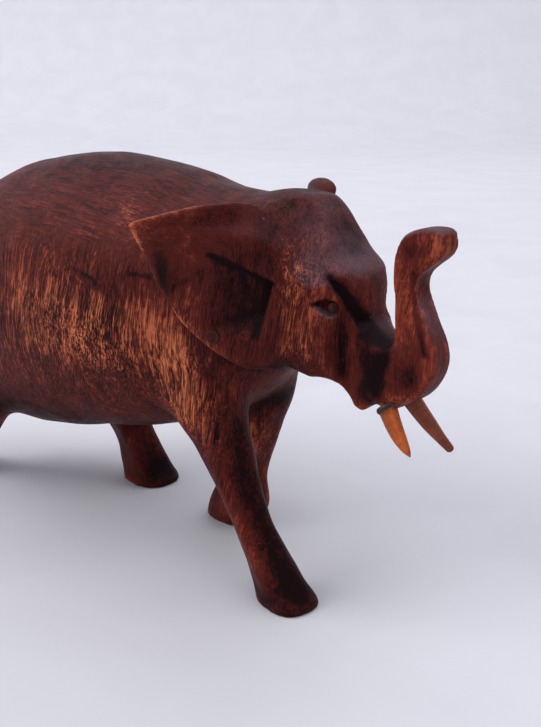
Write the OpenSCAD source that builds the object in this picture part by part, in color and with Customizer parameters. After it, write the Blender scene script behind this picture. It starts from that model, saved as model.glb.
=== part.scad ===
// Carved wooden elephant with inset tusks, eyes and a filler plug.
// Millimetres. +X is the way the head faces, +Y its left side, +Z up, floor at Z = 0.

/* [Overall size] */
// Length from rump to trunk, mm
body_length = 172; // [120:1:260]
// Width over the two ears, mm
body_width = 61; // [44:1:90]
// Height from the soles to the top of the back, mm
body_height = 100; // [70:1:150]

/* [Legs] */
// Size of each foot along the body, mm
foot_length = 14.5; // [10:0.5:20]
// Size of each foot across the body, mm
foot_width = 12.5; // [8:0.5:16]
// Share of the foot's size left at the thinnest part of the leg
leg_taper = 0.74; // [0.55:0.01:0.95]

/* [Ears and trunk] */
// Thickness of each ear near its edge, mm
ear_thickness = 2.6; // [1.8:0.1:4]
// Width of the raised trunk, mm
trunk_width = 6.6; // [5:0.2:9]

/* [Tusks] */
// Diameter of a tusk where it leaves the wood, mm
tusk_diameter = 4; // [2.5:0.1:5]
// Depth of the drilled socket, mm
tusk_socket_depth = 5; // [2:0.5:7]
// Diameter of the tenon glued in the socket, mm
tusk_tenon_diameter = 2.6; // [1.6:0.1:3.6]
// Diameter of the glue bead round each root, mm
glue_diameter = 5.4; // [4.6:0.1:6.4]

/* [Eyes and plug] */
// Diameter of each eye peg, mm
eye_diameter = 2.8; // [1.6:0.1:3.6]
// Depth of each eye hole below the hollow, mm
eye_depth = 3; // [1.5:0.5:5]
// Diameter of the filler plug in the right ear, mm
plug_diameter = 3; // [1.6:0.1:4]
// Depth of the filler plug, mm
plug_depth = 3; // [1.5:0.5:5]

/* [Build] */
// Sub-part to draw, or all

/* [Hidden] */
// Size of the carving the outlines below are written for
DRAWN = [172, 61, 100];
SCALE = [body_length / DRAWN.x, body_width / DRAWN.y, body_height / DRAWN.z];
GLUE_SEAT = 0.7;
GLUE_PROUD = 0.25;
TUSK_LENGTH = 11.2;
WOOD = [0.42, 0.2, 0.14];
PALE = [0.72, 0.46, 0.26];
DARK = [0.08, 0.04, 0.04];

// ---- rings and lofts ----
// A ring is [centre, first half axis, second half axis, squareness].

function power(v, e) = sign(v) * pow(abs(v), 2 / e);

function ring_points(r, round) = [for (i = [0 : round - 1]) let (t = 360 * i / round)
    r[0] + r[1] * power(cos(t), r[3]) + r[2] * power(sin(t), r[3])];

function mix4(a, b, c, d, t) = 0.5 * (2 * b + (c - a) * t + (2 * a - 5 * b + 4 * c - d) * t * t
    + (3 * b - a - 3 * c + d) * t * t * t);

function between(rows, i, t) = let (
        n = len(rows) - 1,
        a = rows[max(i - 1, 0)], b = rows[i], c = rows[min(i + 1, n)], d = rows[min(i + 2, n)])
    [for (k = [0 : 2]) mix4(a[k], b[k], c[k], d[k], t), mix4(a[3], b[3], c[3], d[3], t)];

function smooth_rings(rows, steps) = concat(
    [for (i = [0 : len(rows) - 2]) for (s = [0 : steps - 1]) between(rows, i, s / steps)],
    [rows[len(rows) - 1]]);

function turned(f) = [f[2], f[1], f[0]];

// Skins the rings in order: round is the points on each, steps the rings per written one.
module loft(rows, round, steps = 2) {
    rings = smooth_rings(rows, steps);
    m = len(rings);
    n = round;
    points = concat([for (r = rings) each ring_points(r, n)], [rings[0][0]], [rings[m - 1][0]]);
    sides = [for (j = [0 : m - 2]) for (i = [0 : n - 1]) let (k = (i + 1) % n)
        each [[j * n + i, (j + 1) * n + i, (j + 1) * n + k],
            [j * n + i, (j + 1) * n + k, j * n + k]]];
    first = [for (i = [0 : n - 1]) [(i + 1) % n, m * n, i]];
    last = [for (i = [0 : n - 1]) [(m - 1) * n + i, m * n + 1, (m - 1) * n + (i + 1) % n]];
    faces = concat(sides, first, last);
    outward = cross(rows[1][1], rows[1][2]) * (rows[2][0] - rows[0][0]) > 0;
    polyhedron(points = points, faces = outward ? faces : [for (f = faces) turned(f)],
        convexity = 8);
}

// An upright ring across the body, from its top and bottom height.
function across(x, top, bottom, half, e = 2.2) =
    [[x, 0, (top + bottom) / 2], [0, half, 0], [0, 0, (top - bottom) / 2], e];

// A level ring, from its back and front ends.
function level(z, back, front, half, e = 2.2, y = 0) =
    [[(back + front) / 2, y, z], [(front - back) / 2, 0, 0], [0, half, 0], e];

// A ring across the trunk, from its points on the inner and the outer side of the curl.
function trunk_ring(inner, outer, half, e = 3) =
    [[(inner[0] + outer[0]) / 2, 0, (inner[1] + outer[1]) / 2],
        [(outer[0] - inner[0]) / 2, 0, (outer[1] - inner[1]) / 2], [0, half, 0], e];

// A level ring of the ear flap, between its front and rear ends.
function flap(z, front, rear, thick, e = 2.6) = let (
        d = (rear - front) / 2, n = [-d.y, d.x] / norm(d))
    [[(front.x + rear.x) / 2, (front.y + rear.y) / 2, z], [d.x, d.y, 0],
        [n.x * thick / 2, n.y * thick / 2, 0], e];

// ---- the carving ----

module torso() {
    loft([
        across(-84.5, 66, 60, 4),
        across(-83, 74, 51, 11),
        across(-79, 80, 39, 18),
        across(-72, 85, 28, 23),
        across(-60, 90.6, 21, 25.8),
        across(-44, 96.2, 19.6, 27.4),
        across(-26, 99.5, 22.4, 28.2),
        across(-12, 100, 25.8, 28),
        across(2, 99, 29, 27),
        across(14, 96.9, 32.5, 25.2),
        across(26, 94.2, 37, 22.5),
        across(36, 93.4, 43, 18.5),
        across(46, 93, 53, 14),
        across(54, 90, 60, 9)], 28, 3);
}

module head() {
    loft([
        level(94.3, 46, 54, 3.5),
        level(93.4, 43, 56, 7),
        level(90.5, 39, 58.6, 10.5, 2.5),
        level(86, 36, 60.9, 12.9, 2.7),
        level(82.4, 35.4, 63.2, 13.2, 2.7),
        level(79.2, 35, 66.8, 13.3, 2.7),
        level(76, 34, 68.2, 13.5, 2.6),
        level(70, 33, 69.3, 14, 2.4),
        level(64, 35, 70.9, 13.8, 2.3),
        level(59.5, 40, 72.4, 12.2, 2.3),
        level(56, 47, 72.6, 9.8, 2.3),
        level(53.6, 56.5, 72, 7.6, 2.3),
        level(51.2, 61.8, 71.2, 6, 2.3),
        level(49.4, 65.4, 71, 4.8, 2.3),
        level(48.6, 67.6, 70.6, 4.2, 2.3)], 24);
}

module trunk() {
    half = trunk_width / 2;
    loft([
        trunk_ring([62, 72], [58, 54.5], 7, 2.2),
        trunk_ring([70, 67.5], [68, 52], 7.2, 2.4),
        trunk_ring([73.6, 65.2], [73.8, 49.6], 7, 2.6),
        trunk_ring([75.2, 65], [78.6, 51.6], 6, 3.4),
        trunk_ring([75.6, 65.6], [82.6, 54.6], half * 1.45, 5),
        trunk_ring([75.6, 67], [85.3, 60], half * 1.25, 7),
        trunk_ring([75.1, 70], [85.2, 65], half * 1.1, 8),
        trunk_ring([74.7, 74.4], [82.8, 70], half * 1.03, 8),
        trunk_ring([74.4, 79], [80.1, 76], half, 8),
        trunk_ring([74.7, 83.6], [80.4, 79.4], half, 8),
        trunk_ring([76.3, 87.4], [82.4, 81.4], half, 8),
        trunk_ring([79.8, 89.1], [84.4, 82.9], half, 8),
        trunk_ring([83.8, 89.4], [85.6, 84.2], half * 0.97, 6),
        trunk_ring([85.5, 88.8], [86, 85.4], half * 0.85, 5)], 16);
}

// lift raises the top edge of the flap above the head.
module ear(lift) {
    t = ear_thickness;
    loft([
        flap(92.9 + lift, [47, -9], [42, -17], t * 0.5),
        flap(92.1 + lift, [48, -9], [37, -22.5], t * 0.8),
        flap(90.4 + lift * 0.6, [50, -9], [31.5, -27], t),
        flap(88.4 + lift * 0.2, [51.5, -10], [25.6, -30.5], t * 1.1),
        flap(86, [53, -12], [25.4, -29.8], t * 1.2),
        flap(81, [53.5, -12], [26.6, -27.6], t * 1.4),
        flap(75, [54, -12.5], [28.2, -25.8], t * 1.7),
        flap(70, [54, -12.5], [31.2, -24.6], t * 2),
        flap(65, [54, -12.5], [34.8, -23.1], t * 2.2),
        flap(60, [53, -12], [40.8, -20.2], t * 1.9),
        flap(56.5, [51.5, -11], [45.4, -16.5], t)], 14);
}

module both_ears() {
    ear(0);
    mirror([0, 1, 0]) ear(2.6);
}

// foot is the middle of the sole, knee and hip the middle of the leg higher up.
module leg(foot, knee, hip, hip_size, size = 1) {
    r = [foot_length / 2, foot_width / 2] * size;
    k = r * leg_taper;
    middle = (r + k) / 2;
    low = foot * 0.65 + knee * 0.35;
    thigh = (k + hip_size) / 2;
    loft([
        [[foot.x - 0.6, foot.y, -2], [r.x, 0, 0], [0, r.y, 0], 2.3],
        [[foot.x - 0.6, foot.y, 1], [r.x, 0, 0], [0, r.y, 0], 2.3],
        [low, [middle.x, 0, 0], [0, middle.y, 0], 2.3],
        [knee, [k.x, 0, 0], [0, k.y, 0], 2.4],
        [knee * 0.45 + hip * 0.55, [thigh.x, 0, 0], [0, thigh.y, 0], 2.3],
        [hip, [hip_size.x, 0, 0], [0, hip_size.y, 0], 2.2],
        [[hip.x, hip.y * 0.85, hip.z + 16], [hip_size.x, 0, 0], [0, hip_size.y, 0], 2.2]], 16);
}

module legs() {
    leg([55.5, -12.8, 0], [43.2, -13, 19], [31, -12, 44], [11, 8], 1.03);
    leg([16, 13, 0], [19.4, 13, 15], [28, 12, 44], [11, 8], 1.05);
    leg([-22.2, 15.2, 0], [-29.6, 15, 14], [-53, 13, 42], [17, 11], 1.15);
    leg([-72, -14.5, 0], [-67.6, -14.5, 11], [-58, -14, 38], [19, 10.5], 1.12);
}

module tail() {
    loft([
        level(78, -82, -76, 2.4),
        level(71, -85.6, -80, 2.3),
        level(62, -86.16, -80, 1.9),
        level(50, -84.4, -78, 1.7),
        level(41, -81.4, -73, 2.1),
        level(36, -77.5, -70, 1.2)], 10);
}

// The sharp lip line between trunk and jaw, cut on both sides.
module mouth_cut() {
    for (side = [-1, 1])
        translate([74.6, side * 7.6, 55.4]) rotate([0, 18, side * 16])
            scale([0.7, 2.1, 5]) sphere(r = 1, $fn = 20);
}

// The hollow pared under the throat, which leaves the chin sharp.
module throat_cut() {
    path = [[64.4, -16, 50.2], [60.6, -8, 48.4], [56.8, 0, 46.6], [60.6, 8, 48.4], [64.4, 16, 50.2]];
    for (i = [0 : len(path) - 2]) hull() {
        translate(path[i]) sphere(r = 7, $fn = 20);
        translate(path[i + 1]) sphere(r = 7, $fn = 20);
    }
}

// The almond hollow round one eye.
module eye_hollow(side) {
    translate(eye_place(side)) rotate([0, 24, side * -32])
        scale([3.1, 1.3, 2]) sphere(r = 1, $fn = 24);
}

module carving() {
    resize([body_length, body_width, body_height + 2 * SCALE.z])
        difference() {
            union() {
                torso();
                head();
                trunk();
                both_ears();
                legs();
                tail();
            }
            mouth_cut();
            throat_cut();
            eye_hollow(-1);
            eye_hollow(1);
        }
}

// ---- places on the carving, before the overall size is applied ----

function eye_place(side) = [64.5, side * 10.1, 72];
function placed(p) = [p.x * SCALE.x, p.y * SCALE.y, p.z * SCALE.z];

module at_tusk(side) {
    translate(placed([75.6, side * 4.6, 50.6])) rotate([0, 138, side * 16]) children();
}

module at_eye(side) {
    translate(placed(eye_place(side))) rotate([side * -90, 0, 0]) rotate([0, 32, 0]) children();
}

module at_plug() {
    translate(placed([41.6, -22.6, 64.4])) rotate([90, 0, 0]) rotate([0, 30, 0]) children();
}

// ---- sub-parts ----

module carved_body() {
    color(WOOD) difference() {
        carving();
        for (side = [-1, 1]) {
            at_tusk(side) {
                translate([0, 0, -tusk_socket_depth])
                    cylinder(d = tusk_tenon_diameter, h = tusk_socket_depth, $fn = 48);
                translate([0, 0, -GLUE_SEAT]) cylinder(d = glue_diameter, h = 6, $fn = 48);
            }
            at_eye(side) translate([0, 0, -eye_depth])
                cylinder(d = eye_diameter, h = eye_depth + 4, $fn = 48);
        }
        at_plug() translate([0, 0, -plug_depth])
            cylinder(d = plug_diameter, h = plug_depth + 4, $fn = 48);
        translate([-body_length, -body_width, -20]) cube([2 * body_length, 2 * body_width, 20]);
    }
}

// A faceted spike on a round root; bend moves its middle, slim sets the width of its point.
module tusk(side, length, bend, slim) {
    at_tusk(side) {
        translate([0, 0, -tusk_socket_depth])
            cylinder(d = tusk_tenon_diameter, h = tusk_socket_depth - GLUE_SEAT, $fn = 48);
        translate([0, 0, -GLUE_SEAT]) cylinder(d = tusk_diameter, h = GLUE_SEAT + 0.4, $fn = 48);
        hull() {
            translate([0, 0, 0.4]) cylinder(d = tusk_diameter, h = 0.1, $fn = 9);
            translate([bend, 0, length * 0.5]) cylinder(d = tusk_diameter * 0.86, h = 0.1, $fn = 9);
        }
        hull() {
            translate([bend, 0, length * 0.5]) cylinder(d = tusk_diameter * 0.86, h = 0.1, $fn = 9);
            translate([bend * 0.8, 0, length * 0.8]) cylinder(d = tusk_diameter * 0.62, h = 0.1, $fn = 9);
            translate([0, 0, length - 0.3]) cylinder(d1 = slim, d2 = slim * 0.4, h = 0.3, $fn = 9);
        }
    }
}

module right_tusk() { color(PALE) tusk(-1, TUSK_LENGTH, 0.5, 0.6); }
module left_tusk() { color(PALE) tusk(1, TUSK_LENGTH + 3.4, 0.3, 1.3); }

module glue_bead(side) {
    inner = tusk_diameter / 2;
    outer = glue_diameter / 2;
    at_tusk(side) rotate_extrude($fn = 48)
        polygon([[inner, -GLUE_SEAT], [outer, -GLUE_SEAT], [outer, -0.1],
            [outer - 0.25, GLUE_PROUD], [inner, GLUE_PROUD]]);
}

module right_tusk_glue() { color(DARK) glue_bead(-1); }
module left_tusk_glue() { color(DARK) glue_bead(1); }

// A peg with a low domed end, its inner end at -depth.
module peg(diameter, depth, top, dome) {
    translate([0, 0, -depth]) cylinder(d = diameter, h = depth + top, $fn = 48);
    translate([0, 0, top]) cylinder(d1 = diameter, d2 = diameter * 0.5, h = dome, $fn = 48);
}

module right_eye() { color(WOOD) at_eye(-1) peg(eye_diameter, eye_depth, -0.7, 0.5); }
module left_eye() { color(WOOD) at_eye(1) peg(eye_diameter, eye_depth, -0.7, 0.5); }
module ear_plug() { color(DARK) at_plug() peg(plug_diameter, plug_depth, 0.1, 0.15); }

carved_body();
right_tusk();
left_tusk();
right_tusk_glue();
left_tusk_glue();
right_eye();
left_eye();
ear_plug();
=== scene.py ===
"""Carved wooden elephant: shapes the carving, its tusks, eyes and plug, finishes them and sets the stage."""

import math

import bpy
import numpy as np
import openvdb as vdb
from bpy.props import FloatProperty, FloatVectorProperty, PointerProperty
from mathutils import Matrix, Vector


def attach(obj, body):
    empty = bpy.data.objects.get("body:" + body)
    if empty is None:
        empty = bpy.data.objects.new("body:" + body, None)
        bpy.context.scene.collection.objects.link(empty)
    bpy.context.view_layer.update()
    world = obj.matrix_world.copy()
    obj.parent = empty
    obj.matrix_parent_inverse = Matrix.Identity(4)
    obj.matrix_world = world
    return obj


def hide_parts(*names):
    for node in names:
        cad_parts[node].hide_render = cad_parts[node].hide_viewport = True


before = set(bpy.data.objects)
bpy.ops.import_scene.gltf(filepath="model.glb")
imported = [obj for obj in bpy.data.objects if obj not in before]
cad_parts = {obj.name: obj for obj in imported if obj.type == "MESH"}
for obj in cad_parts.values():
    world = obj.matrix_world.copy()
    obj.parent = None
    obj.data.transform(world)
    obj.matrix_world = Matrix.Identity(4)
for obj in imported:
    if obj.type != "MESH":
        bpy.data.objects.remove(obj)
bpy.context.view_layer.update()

bl_info = {
    "name": "Carved Wooden Elephant",
    "version": (1, 0, 0),
    "blender": (4, 5, 0),
    "location": "3D View > Sidebar > Elephant",
    "description": "Builds a hand-carved hardwood elephant with inset tusks",
    "category": "Add Mesh",
}

MM_PER_METRE = 1000
MILLIMETRE = 0.001

# ---- the volume the carving is worked in, in millimetres ----

VOXEL = 0.55  # edge of one cell
BAND = 13  # cells of true distance kept on each side of a surface
LOW = np.array([-91.3, -36.3, -5.5])
HIGH = np.array([91.3, 36.3, 105.6])
FIRST = np.round(LOW / VOXEL).astype(int)
SHAPE = tuple(np.round((HIGH - LOW) / VOXEL).astype(int))
SKIN = 3 * VOXEL  # distance kept round the surface when it is meshed


# ---- sizes and colours a user would change ----


class ElephantShape(bpy.types.PropertyGroup):
    """Sizes of the carving and its tusks"""

    ear_thickness: FloatProperty(
        name="Ear thickness",
        description="Thickness of each ear near its edge",
        default=0.0026,
        min=0.0018,
        max=0.004,
        unit="LENGTH",
    )
    trunk_width: FloatProperty(
        name="Trunk width",
        description="Width of the raised trunk from side to side",
        default=0.0066,
        min=0.005,
        max=0.009,
        unit="LENGTH",
    )
    knife_marks: FloatProperty(
        name="Knife marks",
        description="Depth of the shallow waves the knife and rasp left",
        default=0.00022,
        min=0.0,
        max=0.0006,
        unit="LENGTH",
    )
    tusk_diameter: FloatProperty(
        name="Tusk diameter",
        description="Diameter of a tusk where it leaves the wood",
        default=0.004,
        min=0.0025,
        max=0.005,
        unit="LENGTH",
    )


class ElephantFinish(bpy.types.PropertyGroup):
    """Colours and sheen of the woods"""

    wood_mid: FloatVectorProperty(
        name="Wood",
        description="Middle colour of the stained body wood",
        subtype="COLOR",
        size=4,
        default=(0.1, 0.0155, 0.0115, 1.0),
    )
    # This colour and the bare colour below also paint highlights: on the flank, the right ear's edges and the
    # right fore leg.
    wood_light: FloatVectorProperty(
        name="Worn wood",
        description="Colour where the stain is thin",
        subtype="COLOR",
        size=4,
        default=(0.36, 0.064, 0.034, 1.0),
    )
    wood_bare: FloatVectorProperty(
        name="Bare wood",
        description="Colour where the stain has nearly gone",
        subtype="COLOR",
        size=4,
        default=(0.72, 0.21, 0.085, 1.0),
    )
    # This colour also paints shade and shadow: in hollows, grooves, the muzzle, along the jaw and on the
    # legs.
    wood_dark: FloatVectorProperty(
        name="Dark stain",
        description="Colour where the stain is thickest",
        subtype="COLOR",
        size=4,
        default=(0.0105, 0.0026, 0.0036, 1.0),
    )
    amber_tusk: FloatVectorProperty(
        name="Amber tusk",
        description="Colour of the lighter, right tusk",
        subtype="COLOR",
        size=4,
        default=(0.6, 0.12, 0.02, 1.0),
    )
    brown_tusk: FloatVectorProperty(
        name="Brown tusk",
        description="Colour of the browner, left tusk",
        subtype="COLOR",
        size=4,
        default=(0.36, 0.082, 0.036, 1.0),
    )
    varnish: FloatProperty(
        name="Varnish",
        description="Roughness of the varnish where it lies smooth",
        default=0.36,
        min=0.05,
        max=0.9,
        subtype="FACTOR",
    )


class ElephantStage(bpy.types.PropertyGroup):
    """Floor, light and lens"""

    floor_color: FloatVectorProperty(
        name="Floor",
        description="Colour of the plain floor and backdrop",
        subtype="COLOR",
        size=4,
        default=(0.66, 0.66, 0.71, 1.0),
    )
    key_power: FloatProperty(
        name="Key light",
        description="Power of the large soft light on the elephant's right",
        default=88.0,
        min=0.0,
        unit="POWER",
    )
    lens: FloatProperty(
        name="Lens",
        description="Focal length of the camera",
        default=44.57,
        min=10.0,
        subtype="DISTANCE_CAMERA",
    )


# ---- rings and lofts: a ring is centre, first half axis, second half axis, squareness ----


def across(x, top, bottom, half, square=2.2):
    """An upright ring across the body, from its top and bottom height."""
    centre = (x, 0, (top + bottom) / 2)
    return [centre, (0, half, 0), (0, 0, (top - bottom) / 2), square]


def level(z, back, front, half, square=2.2):
    """A level ring, from its back and front ends."""
    centre = ((back + front) / 2, 0, z)
    return [centre, ((front - back) / 2, 0, 0), (0, half, 0), square]


def trunk_ring(inner, outer, half, square=3.0):
    """A ring across the trunk, from its points on the inner and the outer side of the curl."""
    centre = ((inner[0] + outer[0]) / 2, 0, (inner[1] + outer[1]) / 2)
    spread = ((outer[0] - inner[0]) / 2, 0, (outer[1] - inner[1]) / 2)
    return [centre, spread, (0, half, 0), square]


def flap(z, front, rear, thick, square=2.6):
    """A level ring of the ear flap, between its front and rear ends."""
    along = (np.array(rear) - np.array(front)) / 2
    side = np.array([-along[1], along[0]]) / np.linalg.norm(along) * thick / 2
    centre = ((front[0] + rear[0]) / 2, (front[1] + rear[1]) / 2, z)
    return [centre, (along[0], along[1], 0), (side[0], side[1], 0), square]


def turned(centre, rx, ry, angle, square=3.0):
    """A level ring turned about the upright axis."""
    a = math.radians(angle)
    first = (rx * math.cos(a), rx * math.sin(a), 0)
    second = (-ry * math.sin(a), ry * math.cos(a), 0)
    return [centre, first, second, square]


def ring_numbers(ring):
    """The ring as ten numbers in a row: centre, half axes and squareness."""
    return np.array([*ring[0], *ring[1], *ring[2], ring[3]], dtype=float)


def smooth_rings(rows, steps):
    """Runs a smooth curve through the rings and returns more of them."""
    numbers = [ring_numbers(r) for r in rows]
    last = len(numbers) - 1
    out = []
    for i in range(last):
        a, b = numbers[max(i - 1, 0)], numbers[i]
        c, d = numbers[i + 1], numbers[min(i + 2, last)]
        for s in range(steps):
            t = s / steps
            bend = (2 * a - 5 * b + 4 * c - d) * t * t + (3 * b - a - 3 * c + d) * t**3
            out.append(0.5 * (2 * b + (c - a) * t + bend))
    out.append(numbers[last])
    return out


def loft(rows, around=64, steps=8):
    """Skins the rings and returns points and triangles, normals outward."""
    rings = smooth_rings(rows, steps)
    angle = np.linspace(0, 2 * np.pi, around, endpoint=False)
    points = []
    for r in rings:
        power = 2 / r[9]
        first = np.sign(np.cos(angle)) * np.abs(np.cos(angle)) ** power
        second = np.sign(np.sin(angle)) * np.abs(np.sin(angle)) ** power
        points.append(r[0:3] + np.outer(first, r[3:6]) + np.outer(second, r[6:9]))
    count = len(rings)
    points = np.concatenate([*points, [rings[0][0:3]], [rings[-1][0:3]]])
    i = np.arange(around)
    k = (i + 1) % around
    faces = []
    for j in range(count - 1):
        low, high = j * around, (j + 1) * around
        faces.append(np.stack([low + i, high + i, high + k], 1))
        faces.append(np.stack([low + i, high + k, low + k], 1))
    start, end = count * around, count * around + 1
    faces.append(np.stack([k, np.full(around, start), i], 1))
    tail = (count - 1) * around
    faces.append(np.stack([tail + i, np.full(around, end), tail + k], 1))
    faces = np.concatenate(faces)
    heading = np.cross(rings[1][3:6], rings[1][6:9]) @ (rings[2][0:3] - rings[0][0:3])
    if heading < 0:
        faces = faces[:, ::-1]
    return points, faces


# ---- working the volume ----


def volume(rows, around=64, steps=8, mirror=False):
    """The signed distance to a loft, as a dense block."""
    points, faces = loft(rows, around, steps)
    if mirror:
        points = points * (1, -1, 1)
        faces = faces[:, ::-1]
    grid = vdb.FloatGrid.createLevelSetFromPolygons(
        points.astype(np.float32),
        triangles=faces.astype(np.uint32),
        transform=vdb.createLinearTransform(VOXEL),
        halfWidth=float(BAND),
    )
    block = np.empty(SHAPE, dtype=np.float32)
    grid.copyToArray(block, ijk=tuple(int(v) for v in FIRST))
    return block


def joined(a, b, soft):
    """Both shapes, with a fillet about as wide as soft."""
    h = np.clip(0.5 + 0.5 * (b - a) / soft, 0, 1)
    return b * (1 - h) + a * h - soft * h * (1 - h)


def cut(a, b, soft):
    """The first shape with the second taken away, with a rounded brim."""
    h = np.clip(0.5 - 0.5 * (a + b) / soft, 0, 1)
    return a * (1 - h) - b * h + soft * h * (1 - h)


def window(low, high):
    """The part of the block between two corners: its slices and its coordinates."""
    start = np.maximum(np.floor(np.array(low) / VOXEL).astype(int) - FIRST, 0)
    stop = np.minimum(np.ceil(np.array(high) / VOXEL).astype(int) - FIRST + 1, SHAPE)
    part = tuple(slice(int(a), int(b)) for a, b in zip(start, stop))
    axes = [(np.arange(a, b) + f) * VOXEL for a, b, f in zip(start, stop, FIRST)]
    return part, np.meshgrid(*axes, indexing="ij")


def capsule_chain(xyz, points, radii):
    """The distance to a chain of tapered rods through the points."""
    x, y, z = xyz
    best = np.full(x.shape, 1e3)
    for p, q, r0, r1 in zip(points, points[1:], radii, radii[1:]):
        p, q = np.array(p, float), np.array(q, float)
        d = q - p
        t = ((x - p[0]) * d[0] + (y - p[1]) * d[1] + (z - p[2]) * d[2]) / (d @ d)
        t = np.clip(t, 0, 1)
        gap = np.sqrt((x - p[0] - t * d[0]) ** 2 + (y - p[1] - t * d[1]) ** 2 + (z - p[2] - t * d[2]) ** 2)
        best = np.minimum(best, gap - (r0 + t * (r1 - r0)))
    return best


def groove(block, points, radii, soft):
    """Cuts a groove along the points."""
    reach = max(radii) + 2 * soft + 1
    low, high = np.min(points, 0) - reach, np.max(points, 0) + reach
    part, xyz = window(low, high)
    block[part] = cut(block[part], capsule_chain(xyz, points, radii), soft)


def hollow(block, centre, radii, axis_turn, soft):
    """Cuts an ellipsoid hollow: axis_turn holds its rotations about Y then Z in degrees."""
    reach = max(radii) + 2 * soft + 1
    part, (x, y, z) = window(np.array(centre) - reach, np.array(centre) + reach)
    x, y, z = x - centre[0], y - centre[1], z - centre[2]
    b, c = (math.radians(v) for v in axis_turn)
    x, y = x * math.cos(c) + y * math.sin(c), -x * math.sin(c) + y * math.cos(c)
    x, z = x * math.cos(b) - z * math.sin(b), x * math.sin(b) + z * math.cos(b)
    scaled = np.sqrt((x / radii[0]) ** 2 + (y / radii[1]) ** 2 + (z / radii[2]) ** 2)
    block[part] = cut(block[part], (scaled - 1) * min(radii), soft)


def plane_cut(block, point, normal, low, high, soft):
    """Pares a flat facet off the shape between two corners."""
    n = np.array(normal, float)
    n /= np.linalg.norm(n)
    part, (x, y, z) = window(low, high)
    side = (x - point[0]) * n[0] + (y - point[1]) * n[1] + (z - point[2]) * n[2]
    block[part] = cut(block[part], -side, soft)


def wedge_cut(block, planes, corners, soft):
    """Cuts away the space inside all the planes, each a point and its outward direction."""
    part, (x, y, z) = window(np.min(corners, 0) - 6, np.max(corners, 0) + 6)
    wedge = np.full(x.shape, -1e3)
    for point, away in planes:
        n = away / np.linalg.norm(away)
        wedge = np.maximum(wedge, (x - point[0]) * n[0] + (y - point[1]) * n[1] + (z - point[2]) * n[2])
    block[part] = cut(block[part], wedge, soft)


def sanded(block, centre, radii, reach):
    """Softens the shape round a point, as sandpaper would; reach is in cells."""
    grown = np.array(radii) * 1.8
    part, (x, y, z) = window(np.array(centre) - grown, np.array(centre) + grown)
    away = ((x - centre[0]) / radii[0]) ** 2
    away += ((y - centre[1]) / radii[1]) ** 2
    away += ((z - centre[2]) / radii[2]) ** 2
    soft = np.exp(-(away**1.5)).astype(np.float32)
    smooth = blurred(blurred(block, reach), reach)[part]
    block[part] = block[part] * (1 - soft) + smooth * soft


def waves(spacing, seed):
    """Smooth random waves over the whole block, about -1 to 1."""
    rng = np.random.default_rng(seed)
    small = [max(int(n * VOXEL / spacing) + 3, 4) for n in SHAPE]
    field = rng.uniform(-1, 1, small).astype(np.float32)
    for axis in range(3):
        spots = np.linspace(0.5, small[axis] - 2.5, SHAPE[axis])
        base = np.floor(spots).astype(int)
        t = (spots - base).astype(np.float32)
        t = t * t * (3 - 2 * t)
        side = [1, 1, 1]
        side[axis] = -1
        t = t.reshape(side)
        field = np.take(field, base, axis) * (1 - t) + np.take(field, base + 1, axis) * t
    return field


def blurred(block, reach):
    """The block averaged over a box that reaches this many cells each way."""
    out = block
    for axis in range(3):
        total = np.cumsum(out, axis=axis, dtype=np.float64)
        ahead = np.roll(total, -reach, axis)
        behind = np.roll(total, reach + 1, axis)
        out = ((ahead - behind) / (2 * reach + 1)).astype(np.float32)
    return out


def sampled(block, points):
    """The block's values at the points."""
    place = points / VOXEL - FIRST
    base = np.clip(np.floor(place).astype(int), 0, np.array(SHAPE) - 2)
    t = place - base
    out = np.zeros(len(points))
    for corner in range(8):
        step = np.array([corner & 1, corner >> 1 & 1, corner >> 2 & 1])
        weight = np.prod(np.where(step, t, 1 - t), axis=1)
        i, j, k = (base + step).T
        out += weight * block[i, j, k]
    return out


# ---- the carving: outlines, in millimetres ----


def torso_rings():
    """From the rump to the shoulders, under the neck."""
    return [
        across(-84.5, 66, 60, 4),
        across(-83, 74, 51, 11),
        across(-79, 80, 39, 18),
        across(-72, 85, 28, 23),
        across(-60, 90.6, 21, 25.8),
        across(-44, 96.2, 19.6, 27.4),
        across(-26, 99.5, 22.4, 28.2),
        across(-12, 100, 25.8, 28),
        across(2, 99, 29, 27),
        across(14, 96.9, 32.5, 25.2),
        across(26, 94.2, 37, 22.5),
        across(36, 93.4, 43, 18.5),
        across(46, 93, 53, 14),
        across(54, 90, 60, 9),
    ]


def head_rings():
    """From the crown down to the chin."""
    return [
        level(94.3, 46, 54, 3.5),
        level(93.4, 43, 56, 7),
        level(90.5, 39, 58.6, 10.5, 2.5),
        level(86, 36, 60.9, 12.9, 2.7),
        level(82.4, 35.4, 63.2, 13.2, 2.7),
        level(79.2, 35, 66.8, 13.3, 2.7),
        level(76, 34, 68.2, 13.5, 2.6),
        level(70, 33, 69.3, 14, 2.4),
        level(64, 35, 70.9, 13.8, 2.3),
        level(59.5, 40, 72.4, 12.2, 2.3),
        level(56, 47, 72.6, 9.8, 2.3),
        level(53.6, 56.5, 72, 7.6, 2.3),
        level(51.2, 61.8, 71.2, 6, 2.3),
        level(49.4, 65.4, 71, 4.8, 2.3),
        level(48.6, 67.6, 70.6, 4.2, 2.3),
    ]


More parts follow.
